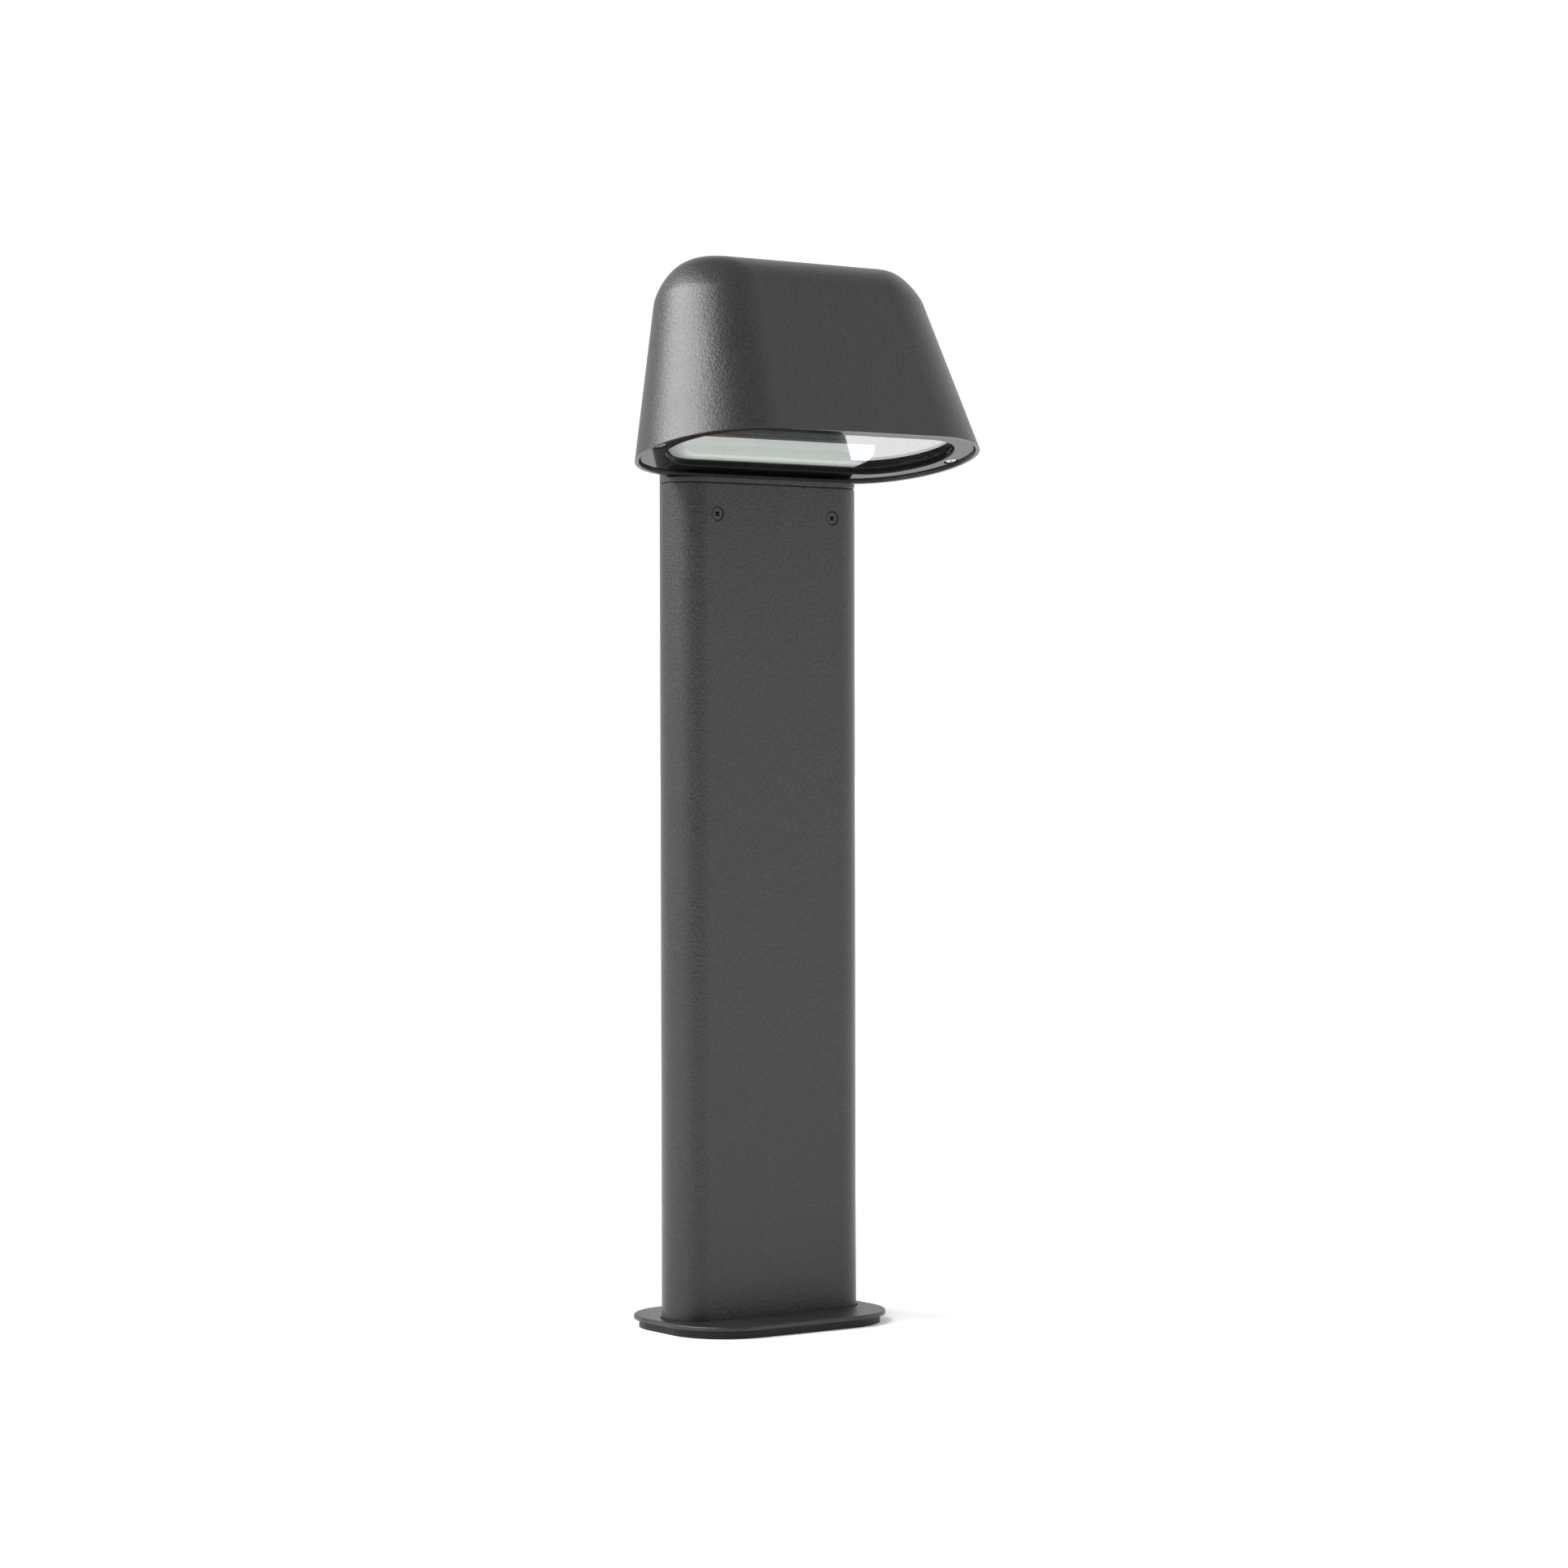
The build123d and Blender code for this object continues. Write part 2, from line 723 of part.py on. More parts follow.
def driver_screw_points():
    """On the front of the tray, under the driver's upper and lower ears."""
    return [(-driver_ear_screw_x, tray_y - driver_ear_thickness, driver_bottom() - driver_ear / 2),
            (driver_ear_screw_x, tray_y - driver_ear_thickness, driver_top() + driver_ear / 2)]


def pole_places():
    """Each pole's X: line, neutral and earth."""
    return (-pole_pitch, 0.0, pole_pitch)


def make_driver_case():
    """An open box with a fixing ear at each end, pillars for its board and holes for its leads."""
    half = driver_half_width
    low = driver_bottom()
    high = driver_top()
    front = tray_y - driver_depth
    case = between((-half, front, low), (half, tray_y, high))
    case = fillet(case.edges().filter_by(Axis.Y), driver_corner)
    wall = driver_wall
    case -= between((-half + wall, front - over, low + wall), (half - wall, tray_y - wall, high - wall))
    ear_front = tray_y - driver_ear_thickness
    ear_half = half - driver_corner
    case += between((-ear_half, ear_front, low - driver_ear), (ear_half, tray_y, low + over))
    case += between((-ear_half, ear_front, high - over), (ear_half, tray_y, high + driver_ear))
    for x in (-half + pillar_inset, half - pillar_inset):
        for z in (low + pillar_inset, high - pillar_inset):
            case += rod((x, tray_y - wall, z), (0, -1, 0), pillar_radius, pillar_height)
    for x, y, z in driver_screw_points():
        case -= rod((x, y - driver_ear_thickness, z), (0, 1, 0), m3 + hole_gap, post_depth)
    for x in mains_x():
        case -= Pos(x, mains_y(), low) * Cylinder(core_diameter / 2 + hole_gap, 4 * wall)
    return case - Pos(0, driver_lead_y(), high) * Cylinder(led_lead_diameter / 2 + hole_gap, 4 * wall)


def driver_lead_y():
    return tray_y - driver_depth / 2 - hole_gap


def mains_x():
    """Where the line and neutral leads enter the driver."""
    return (-mains_half_spacing, mains_half_spacing)


def mains_y():
    """How far forward they enter it: in line with the sleeves, or in front of the driver's board."""
    board_front = tray_y - driver_wall - pillar_height - circuit_thickness
    return min(sleeve_y, board_front - core_diameter / 2 - hole_gap)


def make_driver_lid():
    front = tray_y - driver_depth
    half = driver_half_width
    lid = between((-half, front - driver_wall, driver_bottom()), (half, front, driver_top()))
    return fillet(lid.edges().filter_by(Axis.Y), driver_corner)


def make_driver_circuit():
    """The board on the case's four pillars, with a transformer, capacitors and a choke."""
    back = tray_y - driver_wall - pillar_height
    face = back - circuit_thickness
    half = driver_half_width - driver_wall - circuit_edge_gap
    low = driver_bottom() + driver_wall + circuit_edge_gap
    high = driver_top() - driver_wall - circuit_edge_gap
    middle = (low + high) / 2
    room = face - (tray_y - driver_depth)
    tall = room - transformer_air
    short = room - coil_air
    circuit = between((-half, face, low), (half, back, high))
    circuit += between((-9, face - tall, middle - 11), (9, face, middle + 11))
    circuit += between((-13, face - short, middle - 7), (13, face, middle + 7))
    for x, rise, radius, height in ((-12, 26, 5, tall), (12, 28, 4, short), (11, -27, 6, short)):
        circuit += rod((x, face, middle + rise), (0, -1, 0), radius, height)
    return circuit + between((-16, face - short, middle - 36), (-10, face, middle - 20))


def make_driver_screws():
    return [pan_screw(facing(point, (0, -1, 0)), m3, m3_head_radius, m3_head_height, driver_screw_length)
            for point in driver_screw_points()]


def block_base():
    return lug_base - block_drop - block_height


def block_screw_points():
    height = block_base() + block_height / 2
    front = tray_y - block_depth
    return [(sign * pole_pitch / 2, front, height) for sign in (-1, 1)]


def clamp_heights():
    middle = block_base() + block_height / 2
    return (middle - clamp_spacing / 2, middle + clamp_spacing / 2)


def make_terminal_block():
    low = block_base()
    high = low + block_height
    front = tray_y - block_depth
    block = between((-block_half_width, front, low), (block_half_width, tray_y, high))
    block = fillet(block.edges().filter_by(Axis.Z), block_corner)
    half = sleeve_size / 2 + hole_gap / 2
    inner = (block_height - sleeve_length - hole_gap) / 2
    for x in pole_places():
        block -= between((x - half, sleeve_y - half, low + inner), (x + half, sleeve_y + half, high - inner))
        block -= Pos(x, sleeve_y, low) * Cylinder(sleeve_bore + hole_gap, 3 * block_height)
        for z in clamp_heights():
            block -= rod((x, front - over, z), (0, 1, 0), clamp_head_radius + hole_gap, sleeve_y - front)
    for x, y, z in block_screw_points():
        block -= rod((x, y - over, z), (0, 1, 0), m3 + hole_gap, block_depth + 2 * over)
    return block


def make_terminal_sleeves():
    middle = block_base() + block_height / 2
    sleeves = []
    for x in pole_places():
        sleeve = Box(sleeve_size, sleeve_size, sleeve_length) - Cylinder(sleeve_bore, 2 * sleeve_length)
        sleeve = Pos(x, sleeve_y, middle) * sleeve
        for z in clamp_heights():
            sleeve -= rod((x, sleeve_y - sleeve_size, z), (0, 1, 0), clamp_screw_radius + thread_gap,
                          sleeve_size)
        sleeves.append(sleeve)
    return sleeves


def make_terminal_screws():
    seat = sleeve_y - sleeve_size / 2 - clamp_screw_stand
    return [pan_screw(facing((x, seat, z), (0, -1, 0)), clamp_screw_radius, clamp_head_radius,
                      clamp_head_height, clamp_screw_length)
            for x in pole_places() for z in clamp_heights()]


def make_block_screws():
    return [pan_screw(facing(point, (0, -1, 0)), m3, m3_head_radius, m3_head_height,
                      block_depth + tray_thickness + m3)
            for point in block_screw_points()]


def make_mains_leads():
    start = block_base() + block_height - lead_in_block
    end = driver_bottom() + lead_in_driver
    third = (end - start) / 3
    leads = []
    for name, x, end_x in zip(("line lead", "neutral lead"), pole_places(), mains_x()):
        points = [(x, sleeve_y, start), (x, sleeve_y, start + third),
                  (end_x, mains_y(), end - third), (end_x, mains_y(), end)]
        leads.append(lead(name, points, open_radii(points), core_diameter))
    return leads


def earth_point():
    return (earth_x, tray_y, lug_base - earth_drop)


def make_earth_lug():
    """A ring tongue flat on the tray, with a barrel for the lead to its left."""
    x, y, z = earth_point()
    ring = rod((x, y, z), (0, -1, 0), lug_ring_radius, lug_sheet)
    tongue = between((x - lug_reach, y - lug_sheet, z - barrel_radius * 0.75),
                     (x - m4 - over, y, z + barrel_radius * 0.75))
    barrel_end = x - lug_reach - barrel_length + barrel_radius
    barrel = rod((barrel_end, y - barrel_radius, z), (1, 0, 0), barrel_radius, barrel_length)
    lug = ring + tongue + barrel
    bore = core_diameter / 2 + hole_gap / 2
    lug -= rod((barrel_end - over, y - barrel_radius, z), (1, 0, 0), bore, barrel_length + 2 * over)
    return lug - rod((x, y + over, z), (0, -1, 0), m4 + hole_gap, 2 * over + lug_sheet)


def make_earth_washer():
    """A toothed lock washer on the ring tongue."""
    x, y, z = earth_point()
    washer = rod((x, y - lug_sheet, z), (0, -1, 0), washer_radius, lug_sheet)
    for i in range(washer_teeth):
        turn = Rot(0, 360 / washer_teeth * i, 0)
        notch = Pos(washer_radius, 0, 0) * Cylinder(lug_sheet * 0.6, 4 * lug_sheet, rotation=(90, 0, 0))
        washer -= Pos(x, y - lug_sheet, z) * turn * notch
    return washer - rod((x, y, z), (0, -1, 0), m4 + hole_gap, 3 * lug_sheet)


def make_earth_screw():
    x, y, z = earth_point()
    return pan_screw(facing((x, y - 2 * lug_sheet, z), (0, -1, 0)), m4, m4_head_radius, m4_head_height,
                     earth_screw_length)


def make_earth_lead():
    """From the block's earth pole up and across to the ring tongue on the tray."""
    x, y, z = earth_point()
    pole = pole_places()[2]
    start = block_base() + block_height - lead_in_block
    lug_x = x - lug_reach
    axis_y = y - barrel_radius
    points = [(pole, sleeve_y, start), (pole, sleeve_y, start + 12),
              (pole + 7, (sleeve_y + axis_y) / 2, z - 6), (lug_x - 11, axis_y, z), (lug_x, axis_y, z)]
    return lead("earth lead", points, open_radii(points), core_diameter)


def make_led_lead():
    """From the driver, between the lugs, up the neck and through the hood's back wall to the board."""
    start_y = driver_lead_y()
    height = lead_height()
    end = rim.from_local_coords((0, strip_y - lead_drop_front, shelf_base))
    points = [(0, start_y, driver_top() - 2 * lead_in_driver), (0, start_y, driver_top() + 14),
              (0, led_lead_y, collar_base - 5), (0, led_lead_y, height),
              (0, end.Y, height), (0, end.Y, end.Z + seal_gap)]
    bend = led_lead_y - neck_cavity_front_y
    radii = open_radii(points)[:2] + [bend, bend]
    return lead("light source lead", points, radii, led_lead_diameter)


def save(name, shapes):
    """Write one sub-part; a group of separate solids is kept as a compound."""
    solids = []
    for shape in shapes if isinstance(shapes, list) else [shapes]:
        solids.extend(shape.solids())
    whole = solids[0] if len(solids) == 1 else Compound(children=solids)
    export_step(whole, f"parts/{name}.step")


os.makedirs("parts", exist_ok=True)
save("anchor_foot", make_foot())
save("foot_screws", make_foot_screws())
save("cable_grommet", make_cable_grommet())
save("base_cover", make_cover())
save("post", make_post())
save("collar_gasket", make_collar_gasket())
save("collar_screws", make_collar_screws())
save("head_housing", make_head())
save("glass_frame", make_glass_frame())
save("frame_screws", make_frame_screws())
save("frame_gasket", make_frame_gasket())
save("glass_gasket", make_glass_gasket())
save("window_glass", make_glass())
save("led_diffuser", make_diffuser())
save("led_board", make_board())
save("led_chips", make_chips())
save("board_screws", make_board_screws())
save("led_bracket", make_bracket())
save("bracket_screws", make_bracket_screws())
save("head_grommet", make_head_grommet())
save("led_lead", make_led_lead())
save("gear_tray", make_tray())
save("tray_screws", make_tray_screws())
save("driver_case", make_driver_case())
save("driver_lid", make_driver_lid())
save("driver_circuit", make_driver_circuit())
save("driver_screws", make_driver_screws())
save("terminal_block", make_terminal_block())
save("terminal_sleeves", make_terminal_sleeves())
save("terminal_screws", make_terminal_screws())
save("block_screws", make_block_screws())
save("mains_leads", make_mains_leads())
save("earth_lead", make_earth_lead())
save("earth_lug", make_earth_lug())
save("earth_washer", make_earth_washer())
save("earth_screw", make_earth_screw())
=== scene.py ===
"""The looks of a bollard light: its finishes, a pale floor, soft studio light and the camera.

Every CAD node keeps its mesh. Each of the record's material slots gets a procedural finish here.
Lengths in names ending in _mm or _MM are millimetres on the object; all other lengths are metres.
"""

from math import cos, pi, radians, sin

import bpy
from mathutils import Matrix, Vector


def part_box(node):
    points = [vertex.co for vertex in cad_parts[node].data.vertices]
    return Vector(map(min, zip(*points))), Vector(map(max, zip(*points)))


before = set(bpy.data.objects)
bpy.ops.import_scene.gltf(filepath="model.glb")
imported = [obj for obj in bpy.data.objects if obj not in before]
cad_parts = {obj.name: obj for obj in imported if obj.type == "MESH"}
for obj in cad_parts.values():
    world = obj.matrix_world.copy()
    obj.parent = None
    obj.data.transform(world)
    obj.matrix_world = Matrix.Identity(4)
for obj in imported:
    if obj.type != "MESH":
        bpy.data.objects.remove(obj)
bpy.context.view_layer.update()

MM = 0.001

# Lamp cover: how the hood's rim tilts, how much of the cover's height is opal, and its faint painted
# glow, though the lamp is off
RIM_TILT = 11.75
OPAL_HEIGHT_MM = 11.4
OPAL_PAINTED_GLOW = 0.42

# Collar screws: their heads' radius, the outer radius of the painted shade line around them, and how
# deep below a head's face the cross is painted dark as shade
SCREW_HEAD_MM = 3.8
SCREW_SHADE_OUTER_MM = 4.45
CROSS_SHADE_START_MM = 0.15
CROSS_SHADE_FULL_MM = 0.45

# Light chips, driver circuit and leads inside
CHIP_COUNT = 12
CHIP_MM = 3.0
PHOSPHOR_RADIUS_MM = 1.1
CIRCUIT_BOARD_MM = 1.7
TRACK_PITCH_MM = 9.0
BROWN_SHARE = 0.46

# Patterns: the values that most of a noise lies between, how far the rounded direction turns where
# an edge starts and where it is full, and the soft width of a line between two colours
NOISE_LOW = 0.3
NOISE_HIGH = 0.7
EDGE_START = 0.97
EDGE_FULL = 0.8
SOFT_MM = 0.1

# The Mix node has sockets for each kind of value; these are the ones for colours
MIX_FIRST = 6
MIX_SECOND = 7
MIX_RESULT = 2

# Colours that are used more than once
BLACK = (0.001, 0.001, 0.001)
WHITE = (1.0, 1.0, 1.0)

# Camera: where it stands, how it turns from looking along +Y, and its lens on a 36 mm sensor
CAMERA_PLACE = (-1.3833, -2.0033, 0.3448)
CAMERA_YAW = 34.99
CAMERA_PITCH = -0.311
CAMERA_ROLL = -0.135
CAMERA_LENS = 90.93
SENSOR_WIDTH = 36.0

# Floor: half its side, its colour, and a glow that grows with the distance from the object
FLOOR_REACH = 80.0
FLOOR_COLOUR = (0.83, 0.835, 0.84)
FLOOR_GLOW_NEAR = 0.2
FLOOR_GLOW_FAR = 1.0
FLOOR_GLOW_REACH = (0.1, 0.9)

# Surroundings: directions are (azimuth to the right of -Y, elevation) in degrees, as seen from the
# object; fades are between cosines of the angle from a direction
SURROUND = 1.2
BACKDROP = 1.1
BRIGHT_SIDE = (60.0, 0.0)
DIM_SIDE = 0.62
DIM_SIDE_FADE = (-0.6, 0.7)
DARK_SIDE = 0.04
DARK_SIDE_DIRECTION = (-12.0, 16.0)
DARK_SIDE_HALF_ANGLE = 32.0
DARK_SIDE_FADE = 15.0
SKY_TOP = 0.2
SKY_FADE_START = 0.45

# Lights: a softbox aimed at the head, and a dimmer, wider one behind it that softens its border
KEY_DIRECTION = (-100.0, 36.0)
KEY_DISTANCE = 1.25
KEY_SIZE = (1.5, 0.6)
KEY_RADIANCE = 8.6
HALO_SIZE = (1.9, 1.2)
HALO_RADIANCE = 3.2
HALO_BEHIND = 0.1


# ---- building nodes ----

class NodeTree:
    """The nodes of one material or of the world."""

    def __init__(self, owner):
        owner.use_nodes = True
        self.nodes = owner.node_tree.nodes
        self.links = owner.node_tree.links
        self.nodes.clear()

    def set(self, socket, value):
        """Joins another node's output to the socket, or sets its number, direction or colour."""
        if isinstance(value, bpy.types.NodeSocket):
            self.links.new(value, socket)
        elif socket.type == "RGBA":
            socket.default_value = (*value, 1.0)
        else:
            socket.default_value = value

    def math(self, operation, first, second=0.0):
        node = self.nodes.new("ShaderNodeMath")
        node.operation = operation
        self.set(node.inputs[0], first)
        self.set(node.inputs[1], second)
        return node.outputs["Value"]

    def dot(self, first, second):
        node = self.nodes.new("ShaderNodeVectorMath")
        node.operation = "DOT_PRODUCT"
        self.set(node.inputs[0], first)
        self.set(node.inputs[1], second)
        return node.outputs["Value"]

    def between(self, value, low, high, to_low=0.0, to_high=1.0):
        """The value from low to high, mapped smoothly to another range and held at its ends."""
        node = self.nodes.new("ShaderNodeMapRange")
        node.interpolation_type = "SMOOTHSTEP"
        for name, number in zip(("Value", "From Min", "From Max", "To Min", "To Max"),
                                (value, low, high, to_low, to_high)):
            self.set(node.inputs[name], number)
        return node.outputs["Result"]

    def mix_shaders(self, factor, first, second):
        node = self.nodes.new("ShaderNodeMixShader")
        self.set(node.inputs["Fac"], factor)
        self.set(node.inputs[1], first)
        self.set(node.inputs[2], second)
        return node.outputs["Shader"]


class Finish(NodeTree):
    """One material's node tree. Its patterns sit on the object's own coordinates."""

    def __init__(self, slot):
        super().__init__(bpy.data.materials[slot])
        self.place = self.nodes.new("ShaderNodeTexCoord").outputs["Object"]
        self.output = self.nodes.new("ShaderNodeOutputMaterial")

    def spread(self, noise, to_low=0.0, to_high=1.0):
        """A noise, with the values that most of it has spread over a range."""
        return self.between(noise, NOISE_LOW, NOISE_HIGH, to_low, to_high)

    def step(self, value, at, soft_mm=SOFT_MM):
        """0 before a place and 1 after it, with a soft line between."""
        return self.between(value, at - soft_mm * MM, at + soft_mm * MM)

    def mix(self, factor, first, second):
        """The first colour where the factor is 0, the second where it is 1."""
        node = self.nodes.new("ShaderNodeMix")
        node.data_type = "RGBA"
        self.set(node.inputs["Factor"], factor)
        self.set(node.inputs[MIX_FIRST], first)
        self.set(node.inputs[MIX_SECOND], second)
        return node.outputs[MIX_RESULT]

    def axis(self, name):
        """One coordinate of the place on the object, in metres."""
        node = self.nodes.new("ShaderNodeSeparateXYZ")
        self.set(node.inputs[0], self.place)
        return node.outputs[name]

    def stretched(self, stretch):
        """The place on the object, with each axis scaled."""
        node = self.nodes.new("ShaderNodeMapping")
        self.set(node.inputs["Vector"], self.place)
        self.set(node.inputs["Scale"], stretch)
        return node.outputs["Vector"]

    def noise(self, size_mm, detail=2.0, stretch=None):
        node = self.nodes.new("ShaderNodeTexNoise")
        self.set(node.inputs["Vector"], self.stretched(stretch) if stretch else self.place)
        self.set(node.inputs["Scale"], 1.0 / (size_mm * MM))
        self.set(node.inputs["Detail"], detail)
        return node.outputs["Fac"]

    def cells(self, size_mm):
        node = self.nodes.new("ShaderNodeTexVoronoi")
        self.set(node.inputs["Vector"], self.place)
        self.set(node.inputs["Scale"], 1.0 / (size_mm * MM))
        return node.outputs["Distance"]

    def bevel(self, radius_mm):
        """The surface direction with its sharp edges rounded."""
        node = self.nodes.new("ShaderNodeBevel")
        node.samples = 4
        self.set(node.inputs["Radius"], radius_mm * MM)
        return node.outputs["Normal"]

    def bump(self, height, depth_mm, normal=None):
        node = self.nodes.new("ShaderNodeBump")
        self.set(node.inputs["Height"], height)
        self.set(node.inputs["Distance"], depth_mm * MM)
        self.set(node.inputs["Strength"], 1.0)
        if normal is not None:
            self.set(node.inputs["Normal"], normal)
        return node.outputs["Normal"]

    def edges(self, rounded):
        """1 along sharp edges and 0 on open faces, from how far the rounded direction turns."""
        geometry = self.nodes.new("ShaderNodeNewGeometry")
        turn = self.dot(rounded, geometry.outputs["Normal"])
        return self.between(turn, EDGE_START, EDGE_FULL)

    def show(self, shader):
        self.set(self.output.inputs["Surface"], shader)

    def surface(self, colour, roughness, normal, **constants):
        """Shows a Principled surface; constants are its other sockets, such as Metallic."""
        node = self.nodes.new("ShaderNodeBsdfPrincipled")
        self.set(node.inputs["Base Color"], colour)
        self.set(node.inputs["Roughness"], roughness)
        self.set(node.inputs["Normal"], normal)
        for name, value in constants.items():
            self.set(node.inputs[name.replace("_", " ")], value)
        self.show(node.outputs["BSDF"])
        return node.outputs["BSDF"]


def scaled(colour, factor):
    return tuple(factor * part for part in colour)


# ---- finishes ----

def powder_coat(slot, colour, roughness, grain_mm, grain_depth_mm, **constants):
    """Fine-textured powder coat: speckled, a little uneven over its length, paler where edges rub,
    and painted black as shade in the gap around each collar screw.
    """
    f = Finish(slot)
    grain = f.noise(grain_mm, 3.0)
    pits = f.cells(2.2 * grain_mm)
    patches = f.noise(45.0, 2.0)
    rounded = f.bevel(0.35)
    seat_shade = screw_seat_shade(f)
    speckled = f.mix(f.between(grain, 0.32, 0.68), scaled(colour, 0.6), scaled(colour, 1.45))
    uneven = f.mix(f.spread(patches, 0.0, 0.35), speckled, scaled(colour, 1.12))
    scuffs = f.between(f.noise(6.0, 4.0), 0.42, 0.7, 0.05, 0.35)
    worn = f.mix(f.math("MULTIPLY", f.edges(rounded), scuffs), uneven, scaled(colour, 2.6))
    rough = f.between(grain, 0.25, 0.75, roughness - 0.05, roughness + 0.05)
    rough = f.math("ADD", rough, f.spread(patches, -0.02, 0.02))
    rough = f.math("ADD", rough, f.math("MULTIPLY", seat_shade, 0.5))
    relief = f.math("ADD", grain, f.math("MULTIPLY", pits, 0.5))
    # the clearance around each collar screw's head is painted black: painted shade
    f.surface(f.mix(seat_shade, worn, BLACK), rough, f.bump(relief, grain_depth_mm, rounded), **constants)


def screw_seat_shade(f):
    """1 in the narrow clearance around each collar screw's head, on the post's front only: where the
    coat is painted black as the shade in that gap.
    """
    low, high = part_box("collar_screws")
    screw_x = high.x - SCREW_HEAD_MM * MM
    across = f.math("SUBTRACT", f.math("ABSOLUTE", f.axis("X")), screw_x)
    up = f.math("SUBTRACT", f.axis("Z"), (low.z + high.z) / 2)
    distance = f.math("SQRT", f.math("ADD", f.math("MULTIPLY", across, across),
                                     f.math("MULTIPLY", up, up)))
    outside = f.between(distance, (SCREW_HEAD_MM - SOFT_MM) * MM, SCREW_HEAD_MM * MM)
    inside = f.between(distance, (SCREW_SHADE_OUTER_MM + SOFT_MM) * MM, SCREW_SHADE_OUTER_MM * MM)
    front = f.between(f.axis("Y"), low.y + MM, low.y)
    return f.math("MULTIPLY", f.math("MULTIPLY", outside, inside), front)


def gloss_ring(slot):
    """Smooth black enamel with a faint orange peel."""
    f = Finish(slot)
    peel = f.noise(4.0, 2.0)
    dust = f.between(f.noise(0.5, 2.0), 0.66, 0.74, 0.0, 0.12)
    colour = f.mix(dust, (0.008, 0.008, 0.009), (0.08, 0.08, 0.08))
    rough = f.spread(f.noise(18.0, 3.0), 0.05, 0.1)
    f.surface(colour, rough, f.bump(peel, 0.01, f.bevel(0.25)), Specular_IOR_Level=0.06)


def window_glass(slot):
    """Toughened glass, faintly green, with a thin film of dust; it lets light through to the lamp."""
    f = Finish(slot)
    film = f.between(f.noise(8.0, 3.0), 0.35, 0.75, 0.0, 0.012)
    glass = f.surface((0.97, 0.985, 0.98), film, f.bump(f.noise(60.0, 1.0), 0.002),
                      Transmission_Weight=1.0, IOR=1.5)
    clear = f.nodes.new("ShaderNodeBsdfTransparent")
    f.set(clear.inputs["Color"], (0.94, 0.96, 0.95))
    path = f.nodes.new("ShaderNodeLightPath")
    passes = f.math("MAXIMUM", path.outputs["Is Shadow Ray"], path.outputs["Is Diffuse Ray"])
    f.show(f.mix_shaders(passes, glass, clear.outputs["BSDF"]))


def opal_cover(slot):
    """Milky moulded cover with faint flow marks and a faint painted glow, though the lamp is off;
    near-black above the opal band.
    """
    f = Finish(slot)
    across = Vector((0.0, sin(radians(RIM_TILT)), cos(radians(RIM_TILT))))
    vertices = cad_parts["led_diffuser"].data.vertices
    lowest = min(across.dot(vertex.co) for vertex in vertices)
    height = f.math("SUBTRACT", f.dot(f.place, across), lowest)
    # the cover turns near-black above the opal band
    above_opal_band = f.step(height, OPAL_HEIGHT_MM * MM)
    flow = f.noise(14.0, 3.0, stretch=(0.15, 1.0, 1.0))
    colour = f.mix(f.spread(flow), (0.80, 0.84, 0.79), (0.88, 0.91, 0.87))
    specks = f.between(f.noise(0.8, 1.0), 0.74, 0.8, 0.0, 0.25)
    colour = f.mix(specks, colour, (0.45, 0.45, 0.42))
    rough = f.spread(f.noise(3.0, 3.0), 0.32, 0.42)
    # painted glow: the cover glows faintly although the lamp is off
    glow = f.math("MULTIPLY", f.math("SUBTRACT", 1.0, above_opal_band), OPAL_PAINTED_GLOW)
    f.surface(f.mix(above_opal_band, colour, (0.02, 0.021, 0.022)), rough,
              f.bump(flow, 0.03, f.bevel(0.3)),
              Emission_Color=(0.95, 1.0, 0.94), Emission_Strength=glow)


def rubber(slot):
    """Black rubber with a grey bloom in patches."""
    f = Finish(slot)
    grain = f.noise(0.6, 3.0)
    bloom = f.between(f.noise(9.0, 4.0), 0.45, 0.75, 0.0, 0.5)
    colour = f.mix(bloom, (0.012, 0.012, 0.012), (0.03, 0.03, 0.029))
    f.surface(colour, f.spread(grain, 0.55, 0.75), f.bump(grain, 0.03, f.bevel(0.2)))


def metal(slot, colour, tint, roughness, size_mm, stretch=None):
    """Bare or plated metal: drawn or turned lines, a tint that comes and goes, brighter edges."""
    f = Finish(slot)
    rounded = f.bevel(0.15)
    lines = f.noise(size_mm, 3.0, stretch)
    bloom = f.between(f.noise(7.0, 3.0), 0.35, 0.7)
    plain = f.mix(bloom, colour, tint)
    bright = f.mix(f.math("MULTIPLY", f.edges(rounded), 0.5), plain, scaled(colour, 1.2))
    rough = f.between(lines, 0.25, 0.75, roughness - 0.07, roughness + 0.09)
    f.surface(bright, rough, f.bump(lines, 0.01, rounded), Metallic=1.0)


def blackened_screw(slot):
    """Blackened steel, the coat's own tone on the head's face, with painted shade: black in its cross
    and along its rim.
    """
    f = Finish(slot)
    low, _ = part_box("collar_screws")
    rounded = f.bevel(0.2)
    lines = f.noise(0.4, 3.0)
    colour = f.mix(f.spread(lines), (0.02, 0.021, 0.022), (0.03, 0.031, 0.033))
    # painted shade: the cross turns black below the head's face, and the head's rim is darkened
    cross_shade = f.between(f.axis("Y"), low.y + CROSS_SHADE_START_MM * MM, low.y + CROSS_SHADE_FULL_MM * MM)
    dark = f.math("MAXIMUM", cross_shade, f.math("MULTIPLY", f.edges(rounded), 0.8))
    face = f.surface(f.mix(dark, colour, BLACK), f.spread(lines, 0.32, 0.45),
                     f.bump(lines, 0.015, rounded), Specular_IOR_Level=0.5)
    # the cross is shown as plain black: painted shade in the recess
    cross_shade_black = f.nodes.new("ShaderNodeBsdfDiffuse")
    f.set(cross_shade_black.inputs["Color"], BLACK)
    f.show(f.mix_shaders(cross_shade, face, cross_shade_black.outputs["BSDF"]))


